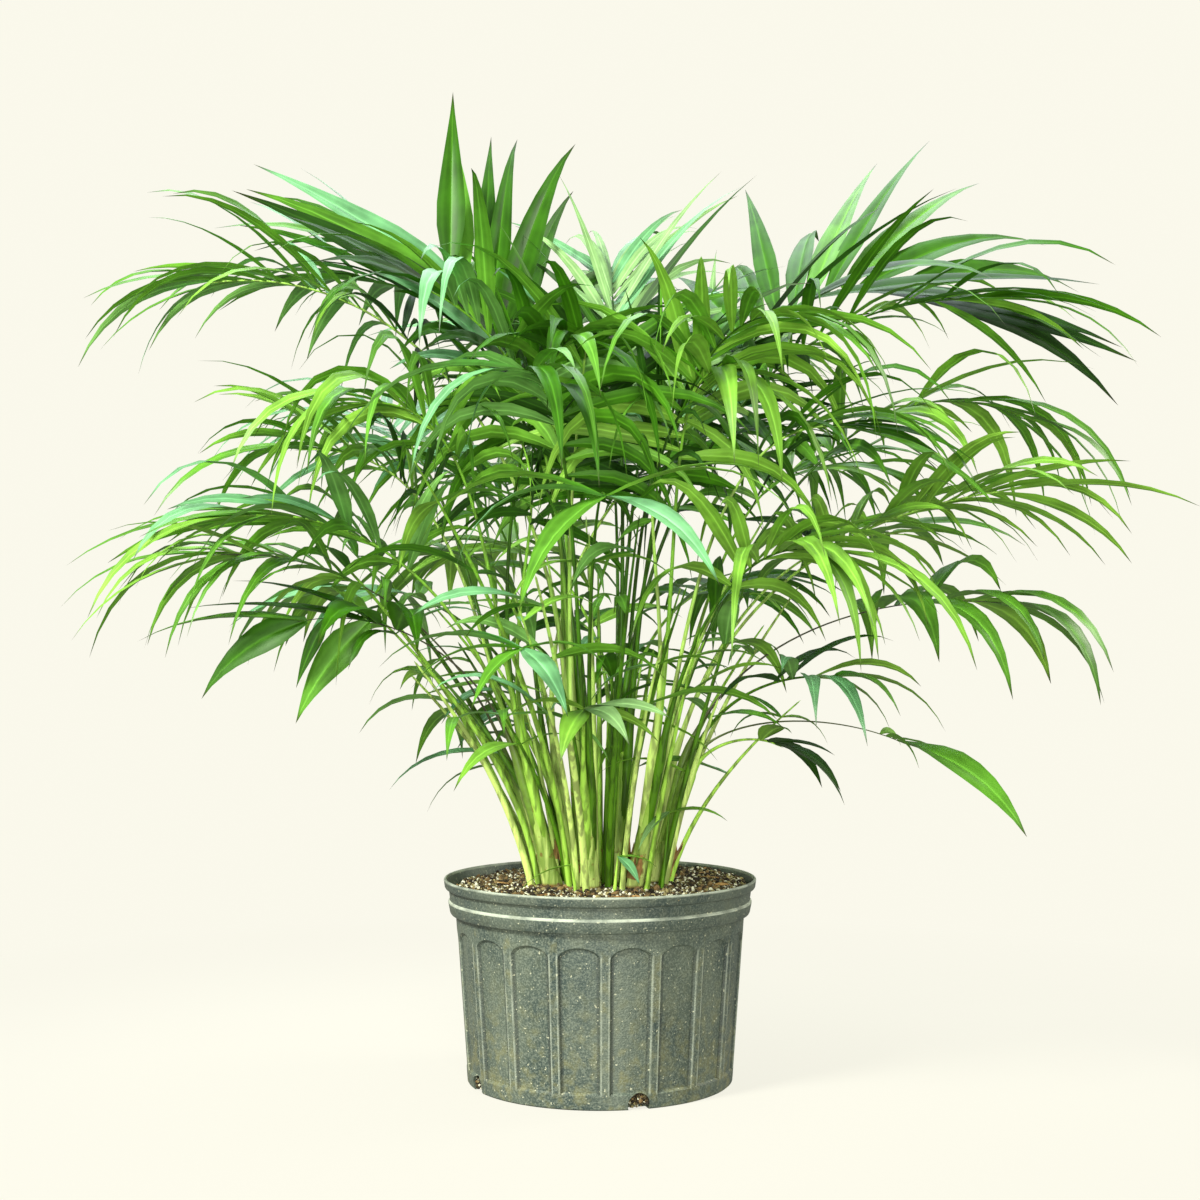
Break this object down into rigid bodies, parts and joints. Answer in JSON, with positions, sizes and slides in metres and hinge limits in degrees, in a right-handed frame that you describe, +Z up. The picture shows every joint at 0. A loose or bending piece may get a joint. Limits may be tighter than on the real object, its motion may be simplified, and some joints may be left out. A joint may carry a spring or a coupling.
{
  "type": "cat palm in a nursery pot",
  "caption": "Clumping palm in a round ribbed nursery pot: short leaning canes carry arching feather fronds of long narrow leaflets.",
  "frame": {"origin": "centre of the pot's flat underside", "axes": "+Z up along the pot's axis, +X to the right as the picture shows the plant, +Y away from the viewer"},
  "size_m": [0.9619, 0.8313, 0.9076],
  "materials": {
    "pot_plastic": "matte",
    "potting_mix": "matte",
    "cane": "satin",
    "frond": "satin"
  },
  "bodies": {
    "root": {"cane_01": "cane", "cane_02": "cane", "cane_03": "cane", "cane_04": "cane", "cane_05": "cane", "cane_06": "cane", "cane_07": "cane", "cane_08": "cane", "cane_09": "cane", "cane_10": "cane", "cane_11": "cane", "cane_12": "cane", "frond_back_high_1": "frond", "frond_back_high_2": "frond", "frond_back_high_3": "frond", "frond_back_low_1": "frond", "frond_back_low_2": "frond", "frond_back_low_3": "frond", "frond_back_low_4": "frond", "frond_back_low_5": "frond", "frond_back_middle_1": "frond", "frond_back_middle_2": "frond", "frond_back_middle_3": "frond", "frond_back_middle_4": "frond", "frond_back_middle_5": "frond", "frond_crest_back": "frond", "frond_crest_back_right": "frond", "frond_crest_left": "frond", "frond_crest_right": "frond", "frond_crown_left": "frond", "frond_crown_left_back": "frond", "frond_crown_right": "frond", "frond_front_centre": "frond", "frond_front_fill_1": "frond", "frond_front_fill_2": "frond", "frond_front_fill_3": "frond", "frond_front_fill_4": "frond", "frond_front_high": "frond", "frond_front_high_left": "frond", "frond_front_high_right": "frond", "frond_front_low": "frond", "frond_front_low_left": "frond", "frond_front_right": "frond", "frond_heart_1": "frond", "frond_heart_2": "frond", "frond_heart_3": "frond", "frond_low_left": "frond", "frond_low_right": "frond", "frond_lowest_left": "frond", "frond_middle_left": "frond", "frond_middle_left_front": "frond", "frond_middle_right": "frond", "frond_shoulder_right": "frond", "frond_small_right": "frond", "frond_sprig_back": "frond", "frond_sprig_right": "frond", "frond_whip_right": "frond", "pot": "pot_plastic", "potting_mix": "potting_mix"}
  },
  "joints": []
}
